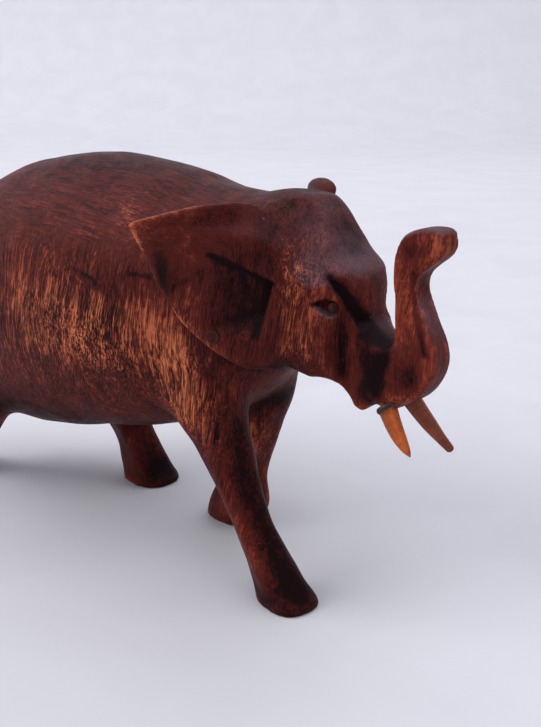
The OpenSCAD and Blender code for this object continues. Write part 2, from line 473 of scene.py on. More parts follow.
def trunk_rings(width):
    """From inside the head, down to the bend and up to the flat tip."""
    half = width / 2
    return [
        trunk_ring((62, 72), (58, 54.5), 7.0, 2.2),
        trunk_ring((70, 67.5), (68, 52), 7.2, 2.4),
        trunk_ring((73.6, 65.2), (73.8, 49.6), 7.0, 2.6),
        trunk_ring((75.2, 65), (78.6, 51.6), 6.0, 3.4),
        trunk_ring((75.6, 65.6), (82.6, 54.6), half * 1.45, 5),
        trunk_ring((75.6, 67), (85.3, 60), half * 1.25, 7),
        trunk_ring((75.1, 70), (85.2, 65), half * 1.1, 8),
        trunk_ring((74.7, 74.4), (82.8, 70), half * 1.03, 8),
        trunk_ring((74.4, 79), (80.1, 76), half, 8),
        trunk_ring((74.7, 83.6), (80.4, 79.4), half, 8),
        trunk_ring((76.3, 87.4), (82.4, 81.4), half, 8),
        trunk_ring((79.8, 89.1), (84.4, 82.9), half, 8),
        trunk_ring((83.8, 89.4), (85.6, 84.2), half * 0.97, 6),
        trunk_ring((85.5, 88.8), (86, 85.4), half * 0.85, 5),
    ]


def right_ear_rings(thick):
    """The right ear, from its top edge down to the lobe."""
    return [
        flap(92.9, (47, -9), (42, -17), thick * 0.5),
        flap(92.1, (48, -9), (37, -22.5), thick * 0.8),
        flap(90.4, (50, -9), (31.5, -27), thick),
        flap(88.4, (51.5, -10), (25.6, -30.5), thick * 1.1),
        flap(86, (53, -12), (25.4, -29.8), thick * 1.2),
        flap(81, (53.5, -12), (26.6, -27.6), thick * 1.4),
        flap(75, (54, -12.5), (28.2, -25.8), thick * 1.7),
        flap(70, (54, -12.5), (31.2, -24.6), thick * 2),
        flap(65, (54, -12.5), (34.8, -23.1), thick * 2.2),
        flap(60, (53, -12), (40.8, -20.2), thick * 1.9),
        flap(56.5, (51.5, -11), (45.4, -16.5), thick),
    ]


def left_ear_rings(thick):
    """The left ear, a little higher and with a rounder top corner, drawn on the right."""
    return [
        flap(95.2, (41.4, -17.6), (38.4, -19.6), thick * 0.7),
        flap(94.5, (44, -15.6), (35.4, -22), thick * 1.4),
        flap(93, (46, -14), (32, -25), thick * 1.8),
        flap(90.4, (47.4, -12), (28.6, -28), thick * 1.4),
        flap(87.6, (48, -11), (25.6, -29.6), thick * 1.2),
        flap(81, (49, -11), (26.6, -27.6), thick * 1.4),
        flap(75, (50, -11), (28.2, -25.8), thick * 1.7),
        flap(70, (51, -11.5), (31.2, -24.6), thick * 2),
        flap(65, (52, -12), (35.6, -22.8), thick * 2.2),
        flap(60, (52, -12), (42, -19.6), thick * 1.9),
        flap(56.5, (51, -11), (46.5, -15.5), thick),
    ]


SOLE_HALF = (7.25, 6.25)
KNEE_TAPER = 0.74


def leg_rings(foot, knee, hip, hip_size, size, angle, column=0.5, square=3.2):
    """A leg from below its sole up into the body.

    foot is the middle of the sole, knee and hip the middle of the leg higher up. hip_size holds the hip's
    half widths, size scales the rest, angle turns the leg and column, 0 to 1, keeps its foot end thick.
    """
    foot, knee, hip = (np.array(v, float) for v in (foot, knee, hip))
    r = np.array(SOLE_HALF) * size
    k = r * KNEE_TAPER
    hip_size = np.array(hip_size, float)
    low = foot * 0.65 + knee * 0.35
    thigh = (k + hip_size) / 2
    middle = r * column + k * (1 - column)
    top = np.array([hip[0], hip[1] * 0.85, hip[2] + 16])
    return [
        turned((foot[0] - 0.6, foot[1], -2), *r, angle * 0.4, 2.5),
        turned((foot[0] - 0.6, foot[1], 1), *r, angle * 0.4, 2.5),
        turned(low, *middle, angle * 0.8, square),
        turned(knee, *k, angle, square + 0.8),
        turned(knee * 0.45 + hip * 0.55, *thigh, angle * 0.8, square),
        turned(hip, *hip_size, 0, 2.3),
        turned(top, *hip_size, 0, 2.2),
    ]


def four_legs():
    """Right fore, left fore, left hind and right hind leg."""
    return [
        leg_rings((55.5, -12.8, 0), (43.2, -13, 19), (29.6, -12.4, 44), (10.4, 7.4), size=1.03, angle=-34),
        leg_rings((15.6, 13.2, 0), (19.2, 13, 15), (28.4, 11, 44), (8.6, 6), size=1.1, angle=-20, column=1.0),
        leg_rings((-21.4, 15.2, 0), (-29.2, 15, 14), (-53, 13, 42), (17, 11), size=1.18, angle=-16),
        leg_rings((-72, -14.5, 0), (-68.8, -14.8, 11), (-58, -14, 38), (19, 10.5), size=1.02, angle=-16),
    ]


def tail_rings():
    """The tail in relief, from its root down to its tip."""
    return [
        level(78, -82, -76, 2.4),
        level(71, -85.6, -80, 2.3),
        level(62, -86.1, -80, 1.9),
        level(50, -84.4, -78, 1.7),
        level(41, -81.4, -73, 2.1),
        level(36, -77.5, -70, 1.2),
    ]


def drawn_for(side, points):
    """Points drawn on the right, kept for side -1 or mirrored to the left for side 1."""
    return [(x, y * -side, z) for x, y, z in points]


# ---- the carving: cuts; what both sides share is drawn on the right, where Y is negative ----

BROW = [(63.2, -10.2, 78.6), (65.2, -8.9, 75.9), (67.4, -7.4, 72.6), (69.2, -5.4, 69.2)]
MUZZLE = [(68.3, -6.9, 73.4), (76.1, -4.9, 63.9), (70.0, -6.2, 53.0)]
MOUTH = [(76.4, -7.6, 62), (76.0, -7.0, 58), (74.9, -6.8, 54.4), (73.4, -6.0, 51.2), (72.4, -3, 49.2)]
EYE_HOLLOW = [(63.8, -10.7, 72.0)]
EYE_REAR = [(60.0, -12.9, 72.6), (61.6, -11.8, 72.5)]
EYE_FRONT = [(65.6, -9.7, 71.2), (67.0, -8.8, 70.2)]
THROAT = [(64.4, -16, 50.2), (60.6, -8, 48.4), (56.8, 0, 46.6), (60.6, 8, 48.4), (64.4, 16, 50.2)]
NECK = [(58, -16, 46), (55, -8, 45.2), (52, 0, 44.4), (55, 8, 45.2), (58, 16, 46)]
FOLD = [(40.2, -21.8, 82.3), (52.2, -14.8, 76.5), (50.3, -17.6, 64.0), (40.6, -22.0, 62.6)]
FOLD_DEPTH = 1.6
CREASE = [(40.2, -22.6, 79.4), (36.6, -24.4, 76.2), (32.6, -26.2, 74.2)]
CHIN_NOTCH = [(70.6, -8, 48.3), (70.6, 8, 48.3)]
UNDER_JAW = [(64.2, -8, 46.6), (64.2, 8, 46.6)]
TAIL_EDGE = [(-82, -2.6, 76), (-84.4, -2.7, 68), (-84.6, -2.6, 58), (-82.6, -2.4, 48), (-79.4, -2.2, 41)]


def carve_muzzle(block, side):
    """The plane sunk between the cheek's upright edge, the brow and the trunk's root."""
    top, front, low = (np.array(p) for p in drawn_for(side, MUZZLE))
    inward = np.cross(front - top, low - top)
    inward = inward * np.sign(-side * inward[1]) / np.linalg.norm(inward)
    sunk = (top, inward)
    cheek = (np.array([68.7, 0, 64]), np.array([-1, 0, 0.04]) + inward * 0.5)
    brow = (np.array([63.9, 0, 77.5]), np.array([0.744, 0, 0.668]) + inward * 0.6)
    trunk_root = (front, np.array([0.962, 0, -0.271]) + inward * 0.3)
    planes = [sunk, cheek, brow, trunk_root]
    wedge_cut(block, planes, [top, front, low], soft=0.25)


def carve_face(block, side):
    """The brow, the sunk plane beside the muzzle, the mouth and the eye of one side."""
    groove(block, drawn_for(side, BROW), radii=[0.3, 1.0, 1.5, 1.8], soft=0.4)
    carve_muzzle(block, side)
    groove(block, drawn_for(side, MOUTH), radii=[0.1, 0.7, 0.9, 0.8, 0.5], soft=0.25)
    (centre,) = drawn_for(side, EYE_HOLLOW)
    hollow(block, centre, radii=(3.1, 1.6, 1.75), axis_turn=(20, side * -32), soft=0.2)
    groove(block, drawn_for(side, EYE_REAR), radii=[0.2, 0.8], soft=0.25)
    groove(block, drawn_for(side, EYE_FRONT), radii=[0.8, 0.3], soft=0.25)


def carve_jaw(block):
    """Pares the throat so the jaw rises behind a sharp chin."""
    groove(block, THROAT, radii=[7] * 5, soft=0.5)
    groove(block, NECK, radii=[6.4] * 5, soft=0.5)
    groove(block, CHIN_NOTCH, radii=[1.5, 1.5], soft=0.15)
    groove(block, UNDER_JAW, radii=[3.1, 3.1], soft=0.15)


def carve_ear(block, side):
    """The fold across one ear and the plane that sinks below it towards the head."""
    high, corner, low, rear = (np.array(p) for p in drawn_for(side, FOLD))
    outward = np.cross(rear - high, corner - high) * -side
    outward = outward / np.linalg.norm(outward)
    inward = np.cross(corner - outward * FOLD_DEPTH - high, rear - high)
    inward = inward * np.sign(-(inward @ outward))
    sunk = (high + outward * 0.15, inward)
    fold = (high, np.cross(corner - high, outward) * side)
    front = (corner, np.cross(low - corner, outward) * side)
    slanting_foot = (low, np.array([0, 0, -1.0]) - outward * 2.4)
    planes = [sunk, fold, front, slanting_foot]
    wedge_cut(block, planes, [high, corner, low, rear], soft=0.2)
    groove(block, drawn_for(side, CREASE), radii=[0.3, 0.5, 0.3], soft=0.6)


def carve_tail(block):
    """Shallow channels that lift the tail from the rump."""
    for side in (-1, 1):
        groove(block, drawn_for(side, TAIL_EDGE), radii=[0.4, 1.0, 1.1, 1.0, 0.5], soft=0.7)


def ear_fillet():
    """How wide the fillet behind an ear is at each slice along X: narrow at the rim, wide at the head."""
    along = (np.arange(SHAPE[0]) + FIRST[0]) * VOXEL
    fillet = 0.9 + 2.6 * np.clip((along - 42) / 9, 0, 1)
    return fillet.astype(np.float32)[:, None, None]


def blended_masses(shape):
    """The torso, head, legs, trunk, ears and tail as one shape."""
    body = volume(torso_rings(), around=96)
    head = volume(head_rings(), around=72)
    for side in (-1, 1):
        temple = (52.5, side * 5.6, 93.7)
        plane_cut(head, temple, (0.34, side * 0.8, 0.46), (46, -16, 76), (72, 16, 97), soft=0.3)
    body = joined(body, head, soft=4.0)
    for rings in four_legs():
        body = joined(body, volume(rings), soft=4.5)
    body = joined(body, volume(trunk_rings(shape.trunk_width * MM_PER_METRE)), soft=1.8)
    thick = shape.ear_thickness * MM_PER_METRE
    fillet = ear_fillet()
    body = joined(body, volume(right_ear_rings(thick)), fillet)
    body = joined(body, volume(left_ear_rings(thick), mirror=True), fillet)
    return joined(body, volume(tail_rings()), soft=0.9)


def carving_volume(shape):
    """The blended masses with every detail cut and the soles pared level."""
    body = blended_masses(shape)
    carve_tail(body)
    carve_jaw(body)
    for side in (-1, 1):
        carve_face(body, side)
        carve_ear(body, side)
    for side in (-1, 1):
        sanded(body, (51, side * 11.5, 88.6), radii=(7, 6, 6), reach=5)
    marks = shape.knife_marks * MM_PER_METRE
    body += marks * waves(9.0, seed=3) + marks * 0.5 * waves(4.0, seed=4)
    floor = (np.arange(SHAPE[2]) + FIRST[2]) * VOXEL
    body = np.maximum(body, -floor.astype(np.float32)[None, None, :])
    return body


def mesh_object(name, points, faces):
    """A smooth-shaded mesh from points in metres."""
    mesh = bpy.data.meshes.new(name)
    mesh.from_pydata(points, [], faces)
    mesh.validate()
    mesh.update()
    mesh.shade_smooth()
    piece = bpy.data.objects.new(name, mesh)
    bpy.context.scene.collection.objects.link(piece)
    return piece


def millimetre_piece(name, points, faces):
    """A mesh from an array of points in millimetres and rows of point numbers."""
    return mesh_object(name, points * MILLIMETRE, [tuple(int(v) for v in f) for f in faces])


# ---- stain, wear and painted shade and highlights that differ over the carving, painted on its points ----

# Spots hold a centre, radii and a strength; lines hold points, one radius and a strength. Darker places
# first: thick stain, with painted shade and shadow in the brow groove, the sunk muzzle, the mouth, the right
# ear's fold, slot, crease and sunk plane, along the jaw, down the right fore leg's front and at the top of
# the left fore leg.
DARK_SPOTS = [
    ((30.4, -27.5, 76.4), (2.4, 4, 7), 1.0),
    # Dark stain with painted shade on the right ear's sunk plane below the fold.
    ((47, -18.6, 71), (6.4, 6, 8.4), 0.8),
    ((44, -19, 92), (6, 6, 5), 0.6),
    ((50, -14, 84), (3.6, 5, 7), 0.6),
    ((38, -23, 80), (16, 12, 14), 0.3),
    ((38, 23, 80), (16, 12, 14), 0.3),
    ((60, -12, 2), (9, 11, 8), 0.9),
    ((55, -17, 1), (9, 6, 6), 0.75),
    ((40, -18, 34), (6, 6, 10), 0.35),
    ((50, -10, 16), (8, 7, 13), 0.6),
    ((-14.5, 14, 4), (7, 10, 15), 1.0),
    ((-17, 16, 1), (8, 9, 5), 0.7),
    # Painted shadow at the top of the left fore leg's inner face.
    ((35, 9.5, 41.5), (4.4, 5, 4), 0.95),
    ((17, 11, 36), (14, 6, 4), 0.5),
    ((14, 12, 2), (10, 10, 9), 0.5),
    ((-30, 8, 22), (14, 12, 10), 0.4),
    ((9, -26, 72.5), (12, 5, 2.6), 0.25),
    # Painted shade along the jaw line under the cheek and the ear lobe.
    ((50, -12, 56), (12, 8, 3), 0.6),
    ((-10, -8, 100), (60, 26, 9), 0.45),
    ((44, 0, 94), (14, 10, 4), 0.5),
    ((-30, -20, 28), (60, 20, 6), 0.5),
    ((62, 0, 86), (8, 7, 9), 0.35),
    ((81, 0, 90), (6, 5, 1.6), 0.85),
    ((77.4, -3, 85.4), (2, 3, 2), 0.6),
    ((80, -3, 58), (2, 3, 3), 0.7),
    ((42, 19, 94), (8, 6, 4), 0.6),
]
# Lighter places: where the stain is thin, with a painted pool of light on the middle of the right flank and
# painted highlights along the right ear's top and rear edges and the right fore leg's outer side.
LIGHT_SPOTS = [
    # Thin stain with a painted pool of light on the middle of the right flank.
    ((8, -28, 61), (25, 8, 13), 0.9),
    ((-20, -28, 60), (14, 7, 12), 0.55),
    ((28, -22, 54), (6, 7, 13), 1.0),
    ((27.4, -22, 52), (4.4, 6, 9), 1.0),
    ((33, -20, 45), (5, 6, 7), 0.6),
    ((57, -13, 65), (4, 5, 11), 0.5),
    ((55, -11.4, 81), (3.2, 5, 8), 0.6),
    ((53, -13, 68), (3, 4, 9), 0.4),
    ((36.5, -25, 82), (3.4, 4, 4.4), 0.45),
    ((36, -25, 73), (3, 4, 3.4), 0.45),
    ((83.6, -3, 86), (2.6, 4, 3), 0.35),
    ((80.4, -3, 72), (2.4, 3, 8), 0.35),
    ((78, -5, 53), (4, 4, 3), 0.35),
    ((12, -18, 89), (3.4, 4, 2), 0.6),
    ((16, 10, 22), (8, 8, 14), 0.4),
]
DARK_LINES = [
    # Painted shade in the brow groove.
    ([(63.4, -9.9, 78.4), (64.8, -8.7, 76.6), (65.8, -7.7, 75.2), (67.6, -6.5, 72.4)], 1.4, 0.95),
    # Painted shade with darker stain over the sunk muzzle plane, in this line and the next three.
    ([(67.4, -6.6, 72.4), (68.7, -5, 69), (70.6, -3.6, 66.4)], 2.3, 0.9),
    ([(68.8, -4.3, 69.5), (71, -3.6, 66.6), (73.6, -3.2, 64.8)], 2.0, 0.9),
    ([(70.2, -6.2, 66.8), (71.4, -6, 61), (72.2, -5.6, 57), (71.4, -5.6, 53.4)], 2.9, 0.78),
    ([(69.6, -5.6, 68.2), (70.6, -5.4, 66)], 2.2, 0.8),
    # Dark stain with painted shade down the right fore leg's front facet, in this line and the next.
    ([(39.4, -15.6, 45), (41, -13.4, 39), (43.6, -14.8, 31)], 2.8, 0.5),
    ([(44.4, -14.4, 29), (48.5, -13.4, 22), (54.5, -13.8, 11.3), (60, -13.8, 3.7)], 3.6, 0.68),
    # Painted shade with darker stain beside the trunk's root.
    ([(74.4, -4.2, 64.2), (74.3, -5.2, 61), (73.4, -5.6, 57.6)], 1.7, 0.85),
    # Painted shade in the mouth's groove.
    ([(73.6, -6.2, 53.6), (75.4, -6.6, 58.4), (76, -6, 62)], 0.7, 0.9),
    # Painted shade with darker stain where the trunk leaves the muzzle.
    ([(72.6, -3.6, 66), (75.4, -4.6, 63)], 1.6, 0.7),
    ([(79.6, -3.4, 80), (79.8, -3.4, 75), (81.6, -3.6, 69), (83.4, -4, 64)], 0.8, 0.75),
    ([(38.6, -17.4, 49), (38.1, -18.8, 37.6)], 0.5, 0.95),
    # Painted shade in the slot between the right ear's front and the cheek.
    ([(51.6, -16.4, 74.6), (51, -17, 70), (49.8, -17.8, 65)], 1.3, 0.9),
    # Painted shadow under the edge of the fold across the right ear.
    ([(40.2, -21.8, 82.1), (52.2, -15, 76.3)], 0.8, 0.9),
    # Painted shade along the crease in the right ear.
    ([(40, -22.6, 79.4), (32.6, -26.2, 74.2)], 0.6, 0.6),
    ([(-1, -26.6, 75), (6, -26, 73), (9, -25.6, 70.6)], 0.6, 0.7),
    ([(16, -23.6, 75.4), (22, -22.4, 75)], 0.7, 0.7),
    # Painted shade along the jaw line under the cheek.
    ([(57, -13, 58), (50, -14, 57), (44, -17, 57)], 1.6, 0.5),
    ([(53, -9.6, 92), (54, -10.6, 88)], 1.4, 0.5),
]
LIGHT_LINES = [
    # Painted sheen along the right ear's top edge.
    ([(26, -30.4, 89), (31.5, -27, 91), (37, -22.6, 92.6), (42, -17, 93.4)], 0.9, 0.55),
    # Painted highlight along the right ear's rear edge.
    ([(26, -30.4, 88), (26.4, -28.6, 81), (28, -26.6, 75), (31, -25.4, 70), (34.6, -24, 66)], 0.8, 0.8),
    ([(56.4, -11.4, 84), (57.4, -13, 72), (59.6, -12.8, 60)], 0.9, 0.6),
    ([(66.8, -9.3, 68.4), (67.2, -9.6, 61.5), (67.2, -8.2, 56)], 1.3, 0.6),
    ([(17, 8, 6), (20, 8, 14), (27, 7, 33)], 4.0, 0.6),
    ([(54.6, -13.4, 80), (54.4, -14.2, 70), (55, -13.8, 61)], 0.6, 0.5),
    # Painted highlight on the lit outer side of the right fore leg.
    ([(52.2, -18.7, 3), (46, -17, 16), (39.4, -17.6, 30)], 1.0, 0.2),
]
# Where coarse paper left scratches.
SANDED_SPOTS = [
    ((34, -18, 43), (9, 6, 9), 1.0),
    ((18, -20, 40), (14, 8, 5), 0.8),
    ((6, -18, 93), (40, 12, 6), 0.55),
    ((-30, -24, 40), (30, 8, 12), 0.4),
    ((30, 16, 45), (14, 8, 12), 0.6),
]
# Where the pores stand open.
OPEN_GRAIN_SPOTS = [
    ((0, -26, 60), (46, 18, 22), 1.0),
    ((0, 26, 60), (46, 18, 22), 1.0),
    ((-50, 0, 60), (40, 30, 30), 0.9),
    ((34, -16, 40), (12, 12, 16), 0.8),
    ((34, 16, 40), (12, 12, 16), 0.8),
    ((57, -13, 70), (8, 7, 16), 0.75),
    ((57, 13, 70), (8, 7, 16), 0.75),
    ((0, 0, 96), (60, 24, 12), 0.7),
    ((0, 0, 30), (90, 30, 9), 0.6),
]


def spot_mask(points, spots):
    """How strongly each point lies in the soft spots, 0 to 1."""
    kept = np.ones(len(points))
    for centre, radii, strength in spots:
        away = (((points - centre) / radii) ** 2).sum(1)
        kept *= 1 - strength * np.exp(-away)
    return 1 - kept


def line_mask(points, lines):
    """How strongly each point lies on the soft lines, 0 to 1."""
    kept = np.ones(len(points))
    for path, radius, strength in lines:
        away = capsule_chain(points.T, path, [0] * len(path)) / radius
        kept *= 1 - strength * np.exp(-(away**3))
    return 1 - kept


def both_masks(points, spots, lines):
    """The spots and the lines together, 0 to 1."""
    return 1 - (1 - spot_mask(points, spots)) * (1 - line_mask(points, lines))


def paint(piece, name, values):
    """Stores one number per vertex for the material to read."""
    layer = piece.data.attributes.new(name, "FLOAT", "POINT")
    layer.data.foreach_set("value", np.ascontiguousarray(values, dtype=np.float32))


def meshed(block):
    """Points in millimetres and faces on the block's surface, with level soles."""
    grid = vdb.FloatGrid(SKIN)
    grid.transform = vdb.createLinearTransform(VOXEL)
    grid.copyFromArray(np.clip(block, -SKIN, SKIN), ijk=tuple(int(v) for v in FIRST))
    points, triangles, quads = grid.convertToPolygons(0.0, 0.0)
    points = points.astype(float)
    points[:, 2] = np.maximum(points[:, 2], 0)
    return points, [*quads, *triangles]


def build_carving(shape):
    """The carving, with its wear, painted shade in its hollows (which also dulls the varnish there), its
    stain mixed with painted shade and highlights, scratches and open grain painted on.
    """
    block = carving_volume(shape)
    points, faces = meshed(block)
    piece = millimetre_piece("wood_carving", points, faces)
    wide = sampled(blurred(block, 5), points)
    fine = sampled(blurred(block, 2), points)
    paint(piece, "edge_wear", np.clip(wide * 1.3 + fine * 1.6, 0, 1))
    # Painted shade: the colour darkens in hollows, most in the deepest; the same mask dulls the varnish
    # there.
    paint(piece, "hollow_shade_and_dirt", np.clip(-wide * 1.2 - fine * 1.6, 0, 1))
    # Thick stain mixed with painted shade and shadow in grooves, the ear's fold, slot and sunk plane, the
    # muzzle, along the jaw and on the legs.
    paint(piece, "dark_stain_and_shade", both_masks(points, DARK_SPOTS, DARK_LINES))
    # Thin stain mixed with painted highlights on the flank, the ear's edges and the right fore leg.
    paint(piece, "thin_stain_and_highlight", both_masks(points, LIGHT_SPOTS, LIGHT_LINES))
    paint(piece, "sanding", spot_mask(points, SANDED_SPOTS))
    paint(piece, "open_grain", spot_mask(points, OPEN_GRAIN_SPOTS))
    return piece


# ---- small pieces let into the carving ----

TUSK_ROOT = (75.6, 4.6, 50.6)
TUSK_LEAN = 138
TUSK_SPREAD = 16
TUSK_LENGTH = {-1: 11.2, 1: 14.6}
TUSK_BOW = {-1: 0.6, 1: 0.3}
TUSK_BLUNT = {-1: 0.15, 1: 1.0}
TENON_RADIUS = 1.3
EYE_PLACE = (64.5, 10.1, 72)
EYE_TURN = 32
PLUG_PLACE = (41.6, -22.6, 64.4)
PLUG_TURN = 30
# Height above the wood and radius, from the hidden end outward.
EYE_PROFILE = [
    (-2.9, 1.2),
    (-2.7, 1.35),
    (-1.6, 1.35),
    (-1.2, 1.1),
    (-0.8, 1.08),
    (-0.45, 0.95),
    (-0.2, 0.65),
    (-0.1, 0.2),
]
PLUG_PROFILE = [
    (-2.95, 1.3),
    (-2.8, 1.48),
    (-0.2, 1.48),
    (0.12, 1.46),
    (0.24, 1.3),
    (0.16, 1.08),
    (0.08, 0.6),
    (0.1, 0.1),
]


def turn_y(degrees):
    """A turn about the Y axis."""
    a = math.radians(degrees)
    return np.array([[math.cos(a), 0, math.sin(a)], [0, 1, 0], [-math.sin(a), 0, math.cos(a)]])


def turn_x(degrees):
    """A turn about the X axis."""
    a = math.radians(degrees)
    return np.array([[1, 0, 0], [0, math.cos(a), -math.sin(a)], [0, math.sin(a), math.cos(a)]])


def turn_z(degrees):
    """A turn about the Z axis."""
    a = math.radians(degrees)
    return np.array([[math.cos(a), -math.sin(a), 0], [math.sin(a), math.cos(a), 0], [0, 0, 1]])


def tusk_frame(side):
    """Where a tusk leaves the wood, and the turn that points its own Z outward."""
    place = np.array([TUSK_ROOT[0], side * TUSK_ROOT[1], TUSK_ROOT[2]])
    return place, turn_z(side * TUSK_SPREAD) @ turn_y(TUSK_LEAN)


def eye_frame(side):
    """Where an eye peg stands, and its turn."""
    place = np.array([EYE_PLACE[0], side * EYE_PLACE[1], EYE_PLACE[2]])
    return place, turn_x(-side * 90) @ turn_y(EYE_TURN)


def plug_frame():
    """Where the plug meets the right ear, and its turn."""
    return np.array(PLUG_PLACE), turn_x(90) @ turn_y(PLUG_TURN)


def spin_rows(profile, squash=1.0, bend=0.0, length=1.0):
    """Rings about Z from (height, radius) pairs; bend bows the middle along X."""
    rows = []
    for height, radius in profile:
        bow = bend * math.sin(math.pi * min(max(height / length, 0), 1))
        rows.append([(bow, 0, height), (radius, 0, 0), (0, radius * squash, 0), 2.0])
    return rows


def set_in(points, place_and_turn):
    """Moves points from a piece's own axes to its place in the carving."""
    place, turn = place_and_turn
    return points @ turn.T + place


def tusk_profile(root, length, point):
    """The tenon, the shoulder hidden by the glue and the tapering spike."""
    return [
        (-4.9, TENON_RADIUS * 0.9),
        (-4.7, TENON_RADIUS),
        (-0.85, TENON_RADIUS),
        (-0.7, root * 1.1),
        (0.3, root * 1.1),
        (length * 0.25, root * 1.0),
        (length * 0.5, root * 0.87),
        (length * 0.72, root * 0.67),
        (length * 0.88, root * 0.4 + point * 0.3),
        (length * 0.97, root * 0.12 + point * 0.7),
        (length, 0.12 + point * 0.3),
    ]


def build_tusk(side, root):
    """A spike pared to nine sides, a little flat and slightly bowed."""
    length = TUSK_LENGTH[side]
    profile = tusk_profile(root, length, TUSK_BLUNT[side])
    rows = spin_rows(profile, squash=0.92, bend=TUSK_BOW[side], length=length)
    points, faces = loft(rows, around=9, steps=2)
    name = "tusk_right" if side < 0 else "tusk_left"
    tusk = millimetre_piece(name, set_in(points, tusk_frame(side)), faces)
    bevel = tusk.modifiers.new("pared_edges", "BEVEL")
    bevel.width = 0.00022
    bevel.segments = 3
    bevel.angle_limit = math.radians(14)
    tusk.modifiers.new("even_shading", "WEIGHTED_NORMAL").keep_sharp = True
    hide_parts("right_tusk" if side < 0 else "left_tusk")
    return tusk


def build_glue_bead(side, root):
    """An uneven bead of glue squeezed out round a tusk's root."""
    rng = np.random.default_rng(7 + side)
    around, section = 72, 14  # points round the tusk and round the bead's own section
    angle = np.linspace(0, 2 * np.pi, around, endpoint=False)
    lumps = 0
    for n in (1, 2, 3, 5, 7):
        lumps += rng.uniform(-1, 1) / n * np.cos(n * angle + rng.uniform(0, 6.3))
    inner = root - 0.06
    points = []
    for a, lump in zip(angle, lumps):
        outer = root * 1.1 + 0.34 + 0.16 * lump
        top = 0.2 + 0.16 * lump
        for s in range(section):
            b = 2 * math.pi * s / section
            radius = (inner + outer) / 2 + (outer - inner) / 2 * math.cos(b)
            height = -0.2 + (top + 0.2) * 0.5 * (1 + math.sin(b)) - 0.35 * (1 - math.sin(b))
            points.append((radius * math.cos(a), radius * 0.95 * math.sin(a), height))
    faces = []
    for i in range(around):
        k = (i + 1) % around
        for s in range(section):
            t = (s + 1) % section
            faces.append((i * section + s, k * section + s, k * section + t, i * section + t))
    points = set_in(np.array(points), tusk_frame(side))
    bead = millimetre_piece("glue_right" if side < 0 else "glue_left", points, faces)
    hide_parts("right_tusk_glue" if side < 0 else "left_tusk_glue")
    return bead


def build_eye(side):
    """The peg that stands in the almond hollow, its head pared by hand."""
    points, faces = loft(spin_rows(EYE_PROFILE, squash=1.2), around=40, steps=6)
    head = np.clip(points[:, 2] + 1.4, 0, 1)
    points[:, 0] *= 1 + 0.1 * np.sin(points[:, 0] * 3.1 + points[:, 1] * 2.3) * head
    points[:, 2] -= 0.14 * np.clip(points[:, 0] - 0.2, 0, 1) * (points[:, 2] > -1.2)
    name = "eye_right" if side < 0 else "eye_left"
    eye = millimetre_piece(name, set_in(points, eye_frame(side)), faces)
    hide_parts("right_eye" if side < 0 else "left_eye")
    return eye


def build_plug():
    """The filler plug, with a slightly raised rim and a dished face."""
    points, faces = loft(spin_rows(PLUG_PROFILE), around=48, steps=4)
    plug = millimetre_piece("ear_filler_plug", set_in(points, plug_frame()), faces)
    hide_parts("ear_plug")
    return plug


# ---- shader groups ----


